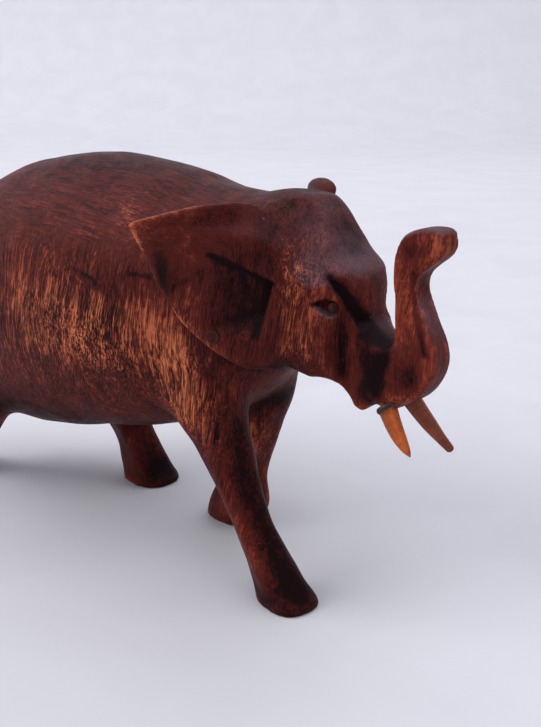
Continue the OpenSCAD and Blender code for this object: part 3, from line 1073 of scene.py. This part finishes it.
class Graph:
    """Short ways to add and link nodes in one tree."""

    def __init__(self, tree):
        self.tree = tree

    def node(self, kind, **settings):
        """A new node with its settings."""
        made = self.tree.nodes.new("ShaderNode" + kind)
        for key, value in settings.items():
            setattr(made, key, value)
        return made

    def feed(self, socket, value):
        """Links an output to the socket, or sets the socket's own value."""
        if isinstance(value, bpy.types.NodeSocket):
            self.tree.links.new(value, socket)
        else:
            socket.default_value = value

    def math(self, operation, a, b=0.0, clamp=False):
        """One step of arithmetic."""
        made = self.node("Math", operation=operation, use_clamp=clamp)
        self.feed(made.inputs[0], a)
        self.feed(made.inputs[1], b)
        return made.outputs[0]

    def plus(self, a, b, clamp=False):
        """a + b"""
        return self.math("ADD", a, b, clamp)

    def minus(self, a, b):
        """a - b"""
        return self.math("SUBTRACT", a, b)

    def times(self, a, b):
        """a * b"""
        return self.math("MULTIPLY", a, b)

    def without(self, value, amount, mask):
        """The value, reduced by an amount where the mask is 1."""
        return self.times(value, self.minus(1.0, self.times(mask, amount)))

    def weighted(self, total, *terms):
        """A total to start from, plus each term times its weight."""
        for value, weight in terms:
            total = self.plus(total, self.times(value, weight))
        return total

    def vector_math(self, operation, a, b):
        """One step on two vectors, giving the node's outputs."""
        made = self.node("VectorMath", operation=operation)
        self.feed(made.inputs[0], a)
        self.feed(made.inputs[1], b)
        return made.outputs

    def scaled(self, vector, size):
        """The vector in steps of size millimetres."""
        made = self.node("VectorMath", operation="SCALE")
        self.feed(made.inputs[0], vector)
        self.feed(made.inputs["Scale"], self.math("DIVIDE", float(MM_PER_METRE), size))
        return made.outputs["Vector"]

    def axes(self, vector):
        """The X, Y and Z of a vector."""
        made = self.node("SeparateXYZ")
        self.feed(made.inputs[0], vector)
        return made.outputs

    def ramp(self, value, low, high, out_low=0.0, out_high=1.0):
        """A smooth rise from out_low at low to out_high at high."""
        made = self.node("MapRange", interpolation_type="SMOOTHSTEP")
        for socket, item in zip(made.inputs, (value, low, high, out_low, out_high)):
            self.feed(socket, item)
        return made.outputs[0]

    def mix(self, factor, a, b):
        """Colour a turning into colour b."""
        made = self.node("Mix", data_type="RGBA")
        self.feed(made.inputs["Factor"], factor)
        self.feed(made.inputs["A"], a)
        self.feed(made.inputs["B"], b)
        return made.outputs["Result"]

    def blend(self, factor, a, b):
        """Number a turning into number b."""
        made = self.node("Mix", data_type="FLOAT")
        self.feed(made.inputs["Factor"], factor)
        self.feed(made.inputs["A"], a)
        self.feed(made.inputs["B"], b)
        return made.outputs["Result"]

    def noise(self, vector, scale, detail=3.0, roughness=0.55, distortion=0.0):
        """Soft noise, 0 to 1."""
        made = self.node("TexNoise")
        self.feed(made.inputs["Vector"], vector)
        self.feed(made.inputs["Scale"], scale)
        self.feed(made.inputs["Detail"], detail)
        self.feed(made.inputs["Roughness"], roughness)
        self.feed(made.inputs["Distortion"], distortion)
        return made.outputs["Fac"]

    def stretched(self, vector, scale, turn=(0, 0, 0)):
        """The vector turned by degrees and scaled along each axis."""
        made = self.node("Mapping")
        self.feed(made.inputs["Vector"], vector)
        self.feed(made.inputs["Scale"], scale)
        self.feed(made.inputs["Rotation"], tuple(math.radians(v) for v in turn))
        return made.outputs["Vector"]

    def number(self, name):
        """A number stored on the mesh."""
        return self.node("Attribute", attribute_name=name).outputs["Fac"]


def shader_group(name, inputs, outputs):
    """A group with named sockets: inputs are (name, kind, default), outputs (name, kind)."""
    tree = bpy.data.node_groups.new(name, "ShaderNodeTree")
    for title, kind, default in inputs:
        socket = tree.interface.new_socket(title, in_out="INPUT", socket_type="NodeSocket" + kind)
        if default is not None:
            socket.default_value = default
    for title, kind in outputs:
        tree.interface.new_socket(title, in_out="OUTPUT", socket_type="NodeSocket" + kind)
    return tree, tree.nodes.new("NodeGroupInput"), tree.nodes.new("NodeGroupOutput")


def grain_group():
    """Fibre streaks and short open pores, long along the group's own Z."""
    tree, start, end = shader_group(
        "Hardwood Grain",
        [("Vector", "Vector", None), ("Size", "Float", 1.0), ("Pore Amount", "Float", 0.5)],
        [("Streaks", "Float"), ("Pores", "Float"), ("Fine", "Float")],
    )
    g = Graph(tree)
    millimetres = g.scaled(start.outputs["Vector"], start.outputs["Size"])
    drift = g.node("TexNoise")
    g.feed(drift.inputs["Vector"], millimetres)
    g.feed(drift.inputs["Scale"], 0.035)
    g.feed(drift.inputs["Detail"], 1.0)
    centred = g.vector_math("SUBTRACT", drift.outputs["Color"], (0.5, 0.5, 0.5))["Vector"]
    swing = g.vector_math("MULTIPLY", centred, (7.0, 7.0, 4.0))["Vector"]
    wavy = g.vector_math("ADD", swing, millimetres)["Vector"]
    broad = g.noise(g.stretched(wavy, (0.6, 0.6, 0.04)), 1.0, 3.0, 0.6)
    narrow = g.noise(g.stretched(wavy, (2.4, 2.4, 0.13)), 1.0, 3.0, 0.65)
    streaks = g.plus(g.times(broad, 0.5), g.times(narrow, 0.5))
    pores = g.noise(g.stretched(wavy, (3.1, 3.1, 0.14)), 1.0, 1.2, 0.5)
    clusters = g.noise(g.stretched(wavy, (0.12, 0.12, 0.05)), 1.0, 1.0)
    gate = g.plus(pores, g.times(g.minus(clusters, 0.5), 0.35))
    limit = g.minus(0.72, g.times(start.outputs["Pore Amount"], 0.2))
    mask = g.ramp(gate, limit, g.plus(limit, 0.07))
    wander = g.noise(g.stretched(wavy, (1.15, 1.15, 0.05)), 1.0, 1.0, 0.5)
    lines = g.ramp(g.math("ABSOLUTE", g.minus(wander, 0.5)), 0.018, 0.06, 1.0, 0.0)
    broken = g.noise(g.stretched(wavy, (1.5, 1.5, 0.16)), 1.0, 2.0)
    broken = g.ramp(g.plus(broken, g.times(start.outputs["Pore Amount"], 0.1)), 0.5, 0.62)
    mask = g.math("MAXIMUM", mask, g.times(lines, broken))
    fine = g.noise(g.stretched(wavy, (6.0, 6.0, 0.9)), 1.0, 2.0)
    g.feed(end.inputs["Streaks"], streaks)
    g.feed(end.inputs["Pores"], mask)
    g.feed(end.inputs["Fine"], fine)
    return tree


def blotch_group():
    """Uneven uptake of stain: broad clouds and small mottling."""
    tree, start, end = shader_group(
        "Uneven Stain",
        [("Vector", "Vector", None), ("Cloud Size", "Float", 14.0), ("Mottle Size", "Float", 2.0)],
        [("Clouds", "Float"), ("Mottle", "Float")],
    )
    g = Graph(tree)
    vector = start.outputs["Vector"]
    cloud_scale = g.math("DIVIDE", float(MM_PER_METRE), start.outputs["Cloud Size"])
    mottle_scale = g.math("DIVIDE", float(MM_PER_METRE), start.outputs["Mottle Size"])
    clouds = g.noise(vector, cloud_scale, 3.0, 0.6, 0.6)
    mottle = g.noise(vector, mottle_scale, 4.0, 0.65, 0.3)
    g.feed(end.inputs["Clouds"], clouds)
    g.feed(end.inputs["Mottle"], mottle)
    return tree


def dust_group():
    """Sparse pale specks of dust, thicker where the surface faces up."""
    tree, start, end = shader_group(
        "Dust Specks",
        [("Vector", "Vector", None), ("Spacing", "Float", 2.2), ("Speck", "Float", 0.1)],
        [("Dust", "Float")],
    )
    g = Graph(tree)
    cells = g.node("TexVoronoi")
    g.feed(cells.inputs["Vector"], start.outputs["Vector"])
    g.feed(cells.inputs["Scale"], g.math("DIVIDE", float(MM_PER_METRE), start.outputs["Spacing"]))
    pick = g.node("SeparateColor")
    g.feed(pick.inputs["Color"], cells.outputs["Color"])
    reach = g.math("DIVIDE", start.outputs["Speck"], start.outputs["Spacing"])
    small = g.times(reach, pick.outputs["Green"])
    speck = g.math("LESS_THAN", cells.outputs["Distance"], small)
    chosen = g.math("GREATER_THAN", pick.outputs["Red"], 0.62)
    up = g.axes(g.node("NewGeometry").outputs["Normal"])["Z"]
    facing = g.ramp(up, -0.3, 0.9, 0.25, 1.0)
    dust = g.times(g.times(speck, chosen), facing)
    g.feed(end.inputs["Dust"], dust)
    return tree


def varnish_group():
    """Satin varnish: roughness that is duller in pores, dust and hollows."""
    tree, start, end = shader_group(
        "Varnish Wear",
        [
            ("Vector", "Vector", None),
            ("Smooth", "Float", 0.3),
            ("Dull", "Float", 0.6),
            ("Mask", "Float", 0.0),
        ],
        [("Roughness", "Float")],
    )
    g = Graph(tree)
    cloud = g.noise(start.outputs["Vector"], 160.0, 4.0, 0.6)
    rub = g.ramp(cloud, 0.35, 0.7, 0.0, 0.45)
    dull = g.plus(rub, start.outputs["Mask"], clamp=True)
    g.feed(end.inputs["Roughness"], g.blend(dull, start.outputs["Smooth"], start.outputs["Dull"]))
    return tree


def scratch_group():
    """Fine straight scratches left by coarse paper, in two crossing directions."""
    tree, start, end = shader_group(
        "Sanding Scratches",
        [("Vector", "Vector", None), ("Spacing", "Float", 0.45)],
        [("Scratches", "Float")],
    )
    g = Graph(tree)
    place = g.scaled(start.outputs["Vector"], start.outputs["Spacing"])
    first = g.noise(g.stretched(place, (0.05, 0.4, 1.0), (0, 38, 0)), 1.0, 1.0)
    second = g.noise(g.stretched(place, (0.04, 0.4, 1.0), (0, 14, 0)), 1.0, 1.0)
    lines = g.math("MAXIMUM", g.ramp(first, 0.62, 0.7), g.ramp(second, 0.66, 0.74))
    g.feed(end.inputs["Scratches"], lines)
    return tree


GROUPS = {}  # the shared groups, by the name that materials call them

# Colour of the sheen painted on the upward faces of the head and trunk.
SHEEN_GREY = (0.36, 0.29, 0.36, 1)
DUST = (0.4, 0.3, 0.28, 1)
GLUE_STAIN = (0.03, 0.01, 0.008, 1)
GLUE_DARK = (0.006, 0.003, 0.003, 1)
GLUE_LIGHT = (0.045, 0.014, 0.009, 1)
EYE_DARK = (0.006, 0.0015, 0.0015, 1)
EYE_LIGHT = (0.085, 0.016, 0.01, 1)
PLUG_DARK = (0.03, 0.006, 0.005, 1)
PLUG_LIGHT = (0.1, 0.018, 0.013, 1)
FLOOR_SPECK = (0.25, 0.24, 0.27, 1)


def shaded(color, amount):
    """The colour made darker or lighter."""
    return (*(c * amount for c in color[:3]), 1)


def shared(g, name, **values):
    """Places a shared group, sets its inputs and gives its outputs."""
    made = g.node("Group")
    made.node_tree = GROUPS[name]
    for key, value in values.items():
        g.feed(made.inputs[key.replace("_", " ").title()], value)
    return made.outputs


def material(name):
    """An empty finish: the material, its graph, its shader and the place on the piece."""
    made = bpy.data.materials.new(name)
    made.use_nodes = True
    made.node_tree.nodes.clear()
    g = Graph(made.node_tree)
    shader = g.node("BsdfPrincipled")
    end = g.node("OutputMaterial")
    g.feed(end.inputs["Surface"], shader.outputs["BSDF"])
    place = g.node("TexCoord").outputs["Object"]
    return made, g, shader, place


def bump(g, shader, height, strength, distance):
    """Fine relief on the surface; distance is in metres."""
    made = g.node("Bump")
    g.feed(made.inputs["Strength"], strength)
    g.feed(made.inputs["Distance"], distance)
    g.feed(made.inputs["Height"], height)
    g.feed(shader.inputs["Normal"], made.outputs["Normal"])


def body_grain(g, place, facing, spot, clouds):
    """Streaks, pores and fine fibre: upright on flanks, legs and head, lengthwise over the back."""
    upright_place = g.stretched(place, (1, 1, 1), (4, -6, 0))
    upright = shared(g, "grain", vector=upright_place, size=1.0, pore_amount=0.85)
    lengthwise_place = g.stretched(place, (1, 1, 1), (0, 84, 8))
    lengthwise = shared(g, "grain", vector=lengthwise_place, size=0.75, pore_amount=0.45)
    height = g.ramp(g.weighted(spot["Z"], (clouds, 0.008)), 0.079, 0.09)
    lying = g.math("MAXIMUM", g.ramp(facing["Z"], 0.5, 0.8), height)
    lying = g.times(lying, g.minus(1.0, g.ramp(spot["X"], 0.04, 0.048)))
    streaks = g.blend(lying, upright["Streaks"], lengthwise["Streaks"])
    pores = g.blend(lying, upright["Pores"], g.times(lengthwise["Pores"], 0.6))
    fine = g.blend(lying, upright["Fine"], lengthwise["Fine"])
    return streaks, pores, fine


def painted_sheen(g, facing, spot, clouds, thick):
    """Where a grey sheen is painted: on the head's and trunk's upward faces, off the thick stain and painted
    shade.
    """
    sheen_mask = g.times(g.ramp(facing["Z"], 0.15, 0.7), g.ramp(spot["X"], 0.05, 0.062, 0.15))
    sheen_mask = g.times(sheen_mask, g.ramp(spot["Z"], 0.06, 0.074))
    sheen_mask = g.times(sheen_mask, g.ramp(clouds, 0.25, 0.6, 0.55))
    return g.without(sheen_mask, 0.8, thick)


def stained_color(g, finish, tone, thin):
    """The wood's colour from its tone: thick stain and painted shade, plain, worn, and nearly bare where the
    stain is thin and where highlights are painted.
    """
    color = g.mix(g.ramp(tone, -0.35, 0.35), tuple(finish.wood_dark), tuple(finish.wood_mid))
    color = g.mix(g.ramp(tone, 0.35, 1.2), color, tuple(finish.wood_light))
    bare = g.times(g.ramp(tone, 0.5, 1.2), g.times(thin, 0.95))
    return g.mix(bare, color, tuple(finish.wood_bare))


def body_wood(finish):
    """Dark stained hardwood with open pores, thin and thick stain, worn edges, scratches and dust, and with
    painted shade, painted highlights and a painted grey sheen in its colour.
    """
    made, g, shader, place = material("Stained Hardwood")
    stain = shared(g, "stain", vector=place, cloud_size=13.0, mottle_size=1.5)
    clouds, mottle = stain["Clouds"], stain["Mottle"]
    facing = g.axes(g.node("NewGeometry").outputs["Normal"])
    spot = g.axes(place)
    streaks, pores, fine = body_grain(g, place, facing, spot, clouds)
    # Thin stain mixed with painted highlights.
    thin = g.number("thin_stain_and_highlight")
    # Thick stain mixed with painted shade and shadow.
    thick = g.number("dark_stain_and_shade")
    # Painted shade in the hollows; it also dulls the varnish there.
    shade_and_dirt = g.number("hollow_shade_and_dirt")
    open_grain = g.number("open_grain")
    pores = g.times(pores, g.weighted(0.2, (open_grain, 0.8)))
    pores = g.without(pores, 0.5, thick)
    swing = g.without(g.weighted(2.2, (open_grain, 1.8)), 0.7, thick)
    # The tone darkens with thick stain and painted shade and lightens with thin stain, painted highlights and
    # worn edges.
    tone = g.weighted(
        0.33,
        (g.minus(streaks, 0.5), swing),
        (g.minus(clouds, 0.5), 0.6),
        (g.minus(mottle, 0.5), 0.8),
        (g.minus(fine, 0.5), 0.6),
        (thin, 0.55),
        (g.number("edge_wear"), 0.35),
        (thick, -0.9),
        (shade_and_dirt, -0.7),
    )
    color = stained_color(g, finish, tone, thin)
    # Painted sheen: grey mixed into the colour on the upward faces of the head and trunk.
    color = g.mix(g.times(painted_sheen(g, facing, spot, clouds, thick), 0.27), color, SHEEN_GREY)
    color = g.mix(g.times(pores, 0.95), color, tuple(finish.wood_dark))
    scratched = g.times(shared(g, "scratches", vector=place)["Scratches"], g.number("sanding"))
    color = g.mix(g.times(scratched, 0.45), color, tuple(finish.wood_light))
    dust = shared(g, "dust", vector=place, spacing=2.4, speck=0.14)["Dust"]
    color = g.mix(g.times(dust, 0.75), color, DUST)
    g.feed(shader.inputs["Base Color"], color)
    dull = g.weighted(dust, (pores, 0.5), (shade_and_dirt, 0.25))
    rough = shared(g, "varnish", vector=place, smooth=finish.varnish, dull=0.62, mask=dull)
    g.feed(shader.inputs["Roughness"], rough["Roughness"])
    relief = g.weighted(0.0, (streaks, 0.7), (fine, 0.5), (mottle, 0.5), (pores, -0.8), (scratched, -0.5))
    bump(g, shader, relief, 0.7, 0.0004)
    shader.inputs["Specular IOR Level"].default_value = 0.05
    return made


def tusk_wood(name, color, side):
    """Pale wood: a lighter middle, darker edges and tip, and a root stained by the glue."""
    made, g, shader, place = material(name)
    root, turn = tusk_frame(side)
    local = g.vector_math("SUBTRACT", place, tuple(root * MILLIMETRE))["Vector"]
    along = g.vector_math("DOT_PRODUCT", local, tuple(turn[:, 2]))["Value"]
    aside = g.vector_math("DOT_PRODUCT", local, tuple(turn[:, 1]))["Value"]
    grain_place = g.stretched(local, (1, 1, 1), (0, -42, 0))
    grain = shared(g, "grain", vector=grain_place, size=0.45, pore_amount=0.45)
    stain = shared(g, "stain", vector=place, cloud_size=3.5, mottle_size=0.7)
    deep = shaded(color, 0.45)
    tone = g.weighted(0.0, (grain["Streaks"], 0.8), (stain["Clouds"], 0.6))
    base = g.mix(g.ramp(tone, 0.45, 0.95), deep, tuple(color))
    base = g.mix(g.times(grain["Pores"], 0.55), base, shaded(color, 0.25))
    stained = g.ramp(g.weighted(along, (stain["Mottle"], 0.0016)), 0.0026, 0.0006)
    base = g.mix(g.times(stained, 0.85), base, GLUE_STAIN)
    off_middle = g.math("ABSOLUTE", g.minus(aside, side * 0.0006))
    streak = g.ramp(off_middle, 0.0, 0.0011, 1.0, 0.0)
    base = g.mix(g.times(streak, 0.3), base, shaded(color, 1.35))
    edge = g.ramp(g.math("ABSOLUTE", aside), 0.0011, 0.0019)
    base = g.mix(g.times(edge, 0.45), base, deep)
    tip = g.ramp(along, 0.008, 0.0125)
    base = g.mix(g.times(tip, 0.35), base, deep)
    g.feed(shader.inputs["Base Color"], base)
    dull = g.times(grain["Pores"], 0.4)
    rough = shared(g, "varnish", vector=place, smooth=0.3, dull=0.6, mask=dull)
    g.feed(shader.inputs["Roughness"], rough["Roughness"])
    relief = g.weighted(grain["Fine"], (stain["Mottle"], 0.8))
    bump(g, shader, relief, 0.5, 0.0002)
    shader.inputs["Specular IOR Level"].default_value = 0.25
    return made


def small_wood(name, low, high):
    """Finish of the eye pegs and the plug: darker wood with mottling."""
    made, g, shader, place = material(name)
    grain = shared(g, "grain", vector=place, size=0.5, pore_amount=0.4)
    stain = shared(g, "stain", vector=place, cloud_size=2.2, mottle_size=0.6)
    tone = g.times(g.plus(grain["Streaks"], stain["Clouds"]), 0.6)
    base = g.mix(g.ramp(tone, 0.4, 0.8), low, high)
    g.feed(shader.inputs["Base Color"], base)
    dull = g.times(grain["Pores"], 0.5)
    rough = shared(g, "varnish", vector=place, smooth=0.3, dull=0.6, mask=dull)
    g.feed(shader.inputs["Roughness"], rough["Roughness"])
    bump(g, shader, g.plus(grain["Fine"], stain["Mottle"]), 0.5, 0.0002)
    shader.inputs["Specular IOR Level"].default_value = 0.12
    return made


def glue_finish():
    """Dark, glossy, slightly lumpy glue."""
    made, g, shader, place = material("Dark Glue")
    stain = shared(g, "stain", vector=place, cloud_size=1.6, mottle_size=0.4)
    base = g.mix(g.ramp(stain["Clouds"], 0.3, 0.7), GLUE_DARK, GLUE_LIGHT)
    g.feed(shader.inputs["Base Color"], base)
    dull = g.times(stain["Mottle"], 0.3)
    rough = shared(g, "varnish", vector=place, smooth=0.22, dull=0.5, mask=dull)
    g.feed(shader.inputs["Roughness"], rough["Roughness"])
    bump(g, shader, stain["Mottle"], 0.5, 0.0002)
    return made


def floor_finish(stage):
    """Plain pale paper with faint specks."""
    made, g, shader, place = material("Pale Floor")
    stain = shared(g, "stain", vector=place, cloud_size=60.0, mottle_size=1.2)
    base = g.mix(g.ramp(stain["Clouds"], 0.3, 0.7), shaded(stage.floor_color, 0.95), tuple(stage.floor_color))
    speck = g.ramp(stain["Mottle"], 0.7, 0.73)
    base = g.mix(g.times(speck, 0.35), base, FLOOR_SPECK)
    g.feed(shader.inputs["Base Color"], base)
    shader.inputs["Roughness"].default_value = 0.7
    return made


def wear(piece, finish):
    """Gives a piece its finish and lets it ride on the one body."""
    piece.data.materials.clear()
    piece.data.materials.append(finish)
    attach(piece, "root")


# ---- stage, in metres ----

CAMERA_PLACE = (0.1724, -0.1589, 0.116)
CAMERA_TILT = 73
CAMERA_HEADING = 40
HALF_WIDTH = 3.0
SHEET_FRONT = -3.0
SWEEP_START = 1.6
SWEEP_RADIUS = 0.6
SHEET_TOP = 2.2
ELEPHANT_MIDDLE = (0, 0, 0.04)


def build_floor(stage):
    """A sheet that lies flat under the elephant and sweeps up behind it."""
    heading = math.radians(CAMERA_HEADING)
    rows = [(SHEET_FRONT, 0.0), (SWEEP_START, 0.0)]
    for a in np.linspace(0.1, math.pi / 2, 12):
        rows.append((SWEEP_START + SWEEP_RADIUS * math.sin(a), SWEEP_RADIUS * (1 - math.cos(a))))
    rows.append((SWEEP_START + SWEEP_RADIUS, SHEET_TOP))
    points, faces = [], []
    for away, height in rows:
        for wide in (-HALF_WIDTH, HALF_WIDTH):
            x = -math.sin(heading) * away + math.cos(heading) * wide
            y = math.cos(heading) * away + math.sin(heading) * wide
            points.append((x, y, height))
    for i in range(len(rows) - 1):
        faces.append((2 * i, 2 * i + 1, 2 * i + 3, 2 * i + 2))
    sheet = mesh_object("floor_sheet", points, faces)
    sheet.data.materials.append(floor_finish(stage))


def soft_light(name, place, size, power, color, target):
    """A flat panel of light that faces its target."""
    lamp = bpy.data.lights.new(name, "AREA")
    lamp.shape = "RECTANGLE"
    lamp.size, lamp.size_y = size
    lamp.energy = power
    lamp.color = color
    holder = bpy.data.objects.new(name, lamp)
    holder.location = place
    aim = Vector(target) - Vector(place)
    holder.rotation_euler = aim.to_track_quat("-Z", "Y").to_euler()
    bpy.context.scene.collection.objects.link(holder)


def build_lights(stage):
    """Soft panels at the elephant's right, above it and low behind it, in a pale room."""
    power = stage.key_power
    white, cool, faint = (1.0, 0.99, 0.98), (0.96, 0.97, 1.0), (0.97, 0.98, 1.0)
    soft_light("key_softbox", (-1.9, -1.6, 1.7), (2.2, 2.0), power * 0.63, white, ELEPHANT_MIDDLE)
    soft_light("top_softbox", (0.1, 0.6, 2.3), (3.6, 3.0), power * 0.54, cool, ELEPHANT_MIDDLE)
    soft_light("backdrop_softbox", (-0.75, 0.9, 1.1), (2.0, 0.5), power * 0.012, faint, (-1.4, 1.65, 0.2))
    world = bpy.data.worlds.new("Pale Room")
    world.use_nodes = True
    sky = world.node_tree.nodes["Background"]
    sky.inputs["Color"].default_value = (0.86, 0.87, 0.95, 1)
    sky.inputs["Strength"].default_value = 0.46
    bpy.context.scene.world = world


def build_camera(stage):
    """The camera, a little above the elephant's right front."""
    lens = bpy.data.cameras.new("camera")
    lens.lens = stage.lens
    lens.sensor_width = 36
    lens.clip_start = 0.01
    holder = bpy.data.objects.new("camera", lens)
    holder.location = CAMERA_PLACE
    holder.rotation_euler = (math.radians(CAMERA_TILT), 0, math.radians(CAMERA_HEADING))
    bpy.context.scene.collection.objects.link(holder)
    bpy.context.scene.camera = holder
    bpy.context.scene.view_settings.view_transform = "Standard"


# ---- operators and panel ----


class ELEPHANT_OT_finishes(bpy.types.Operator):
    """Makes the shared shader groups"""

    bl_idname = "elephant.finishes"
    bl_label = "Shader Groups"

    def execute(self, context):
        GROUPS["grain"] = grain_group()
        GROUPS["stain"] = blotch_group()
        GROUPS["dust"] = dust_group()
        GROUPS["varnish"] = varnish_group()
        GROUPS["scratches"] = scratch_group()
        return {"FINISHED"}


class ELEPHANT_OT_carving(bpy.types.Operator):
    """Shapes the one-block carving"""

    bl_idname = "elephant.carving"
    bl_label = "Carving"

    def execute(self, context):
        scene = context.scene
        piece = build_carving(scene.elephant_shape)
        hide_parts("carved_body")
        wear(piece, body_wood(scene.elephant_finish))
        return {"FINISHED"}


class ELEPHANT_OT_tusks(bpy.types.Operator):
    """Shapes both tusks and the glue round their roots"""

    bl_idname = "elephant.tusks"
    bl_label = "Tusks"

    def execute(self, context):
        scene = context.scene
        root = scene.elephant_shape.tusk_diameter / 2 * MM_PER_METRE
        finish = scene.elephant_finish
        amber = tusk_wood("Amber Tusk Wood", finish.amber_tusk, side=-1)
        brown = tusk_wood("Brown Tusk Wood", finish.brown_tusk, side=1)
        wear(build_tusk(-1, root), amber)
        wear(build_tusk(1, root), brown)
        glue = glue_finish()
        for side in (-1, 1):
            wear(build_glue_bead(side, root), glue)
        return {"FINISHED"}


class ELEPHANT_OT_inlays(bpy.types.Operator):
    """Shapes the eye pegs and the filler plug"""

    bl_idname = "elephant.inlays"
    bl_label = "Eyes and Plug"

    def execute(self, context):
        eye = small_wood("Eye Wood", EYE_DARK, EYE_LIGHT)
        for side in (-1, 1):
            wear(build_eye(side), eye)
        plug = small_wood("Plug Wood", PLUG_DARK, PLUG_LIGHT)
        wear(build_plug(), plug)
        return {"FINISHED"}


class ELEPHANT_OT_stage(bpy.types.Operator):
    """Sets the floor, the lights and the camera"""

    bl_idname = "elephant.stage"
    bl_label = "Stage"

    def execute(self, context):
        stage = context.scene.elephant_stage
        build_floor(stage)
        build_lights(stage)
        build_camera(stage)
        return {"FINISHED"}


class ELEPHANT_PT_panel(bpy.types.Panel):
    """Lists the sizes, the colours and the steps"""

    bl_label = "Carved Elephant"
    bl_idname = "ELEPHANT_PT_panel"
    bl_space_type = "VIEW_3D"
    bl_region_type = "UI"
    bl_category = "Elephant"

    def draw(self, context):
        layout = self.layout
        scene = context.scene
        for group in (scene.elephant_shape, scene.elephant_finish, scene.elephant_stage):
            box = layout.box()
            for name in group.__annotations__:
                box.prop(group, name)
        for step in STEPS:
            layout.operator(step.bl_idname)


STEPS = (
    ELEPHANT_OT_finishes,
    ELEPHANT_OT_carving,
    ELEPHANT_OT_tusks,
    ELEPHANT_OT_inlays,
    ELEPHANT_OT_stage,
)
CLASSES = (ElephantShape, ElephantFinish, ElephantStage, *STEPS, ELEPHANT_PT_panel)


def register():
    """Adds the classes and their settings to the scene."""
    for cls in CLASSES:
        bpy.utils.register_class(cls)
    bpy.types.Scene.elephant_shape = PointerProperty(type=ElephantShape)
    bpy.types.Scene.elephant_finish = PointerProperty(type=ElephantFinish)
    bpy.types.Scene.elephant_stage = PointerProperty(type=ElephantStage)


def unregister():
    """Takes the settings and the classes away again."""
    del bpy.types.Scene.elephant_stage
    del bpy.types.Scene.elephant_finish
    del bpy.types.Scene.elephant_shape
    for cls in reversed(CLASSES):
        bpy.utils.unregister_class(cls)


def main():
    register()
    bpy.ops.elephant.finishes()
    bpy.ops.elephant.carving()
    bpy.ops.elephant.tusks()
    bpy.ops.elephant.inlays()
    bpy.ops.elephant.stage()


if __name__ == "__main__":
    main()
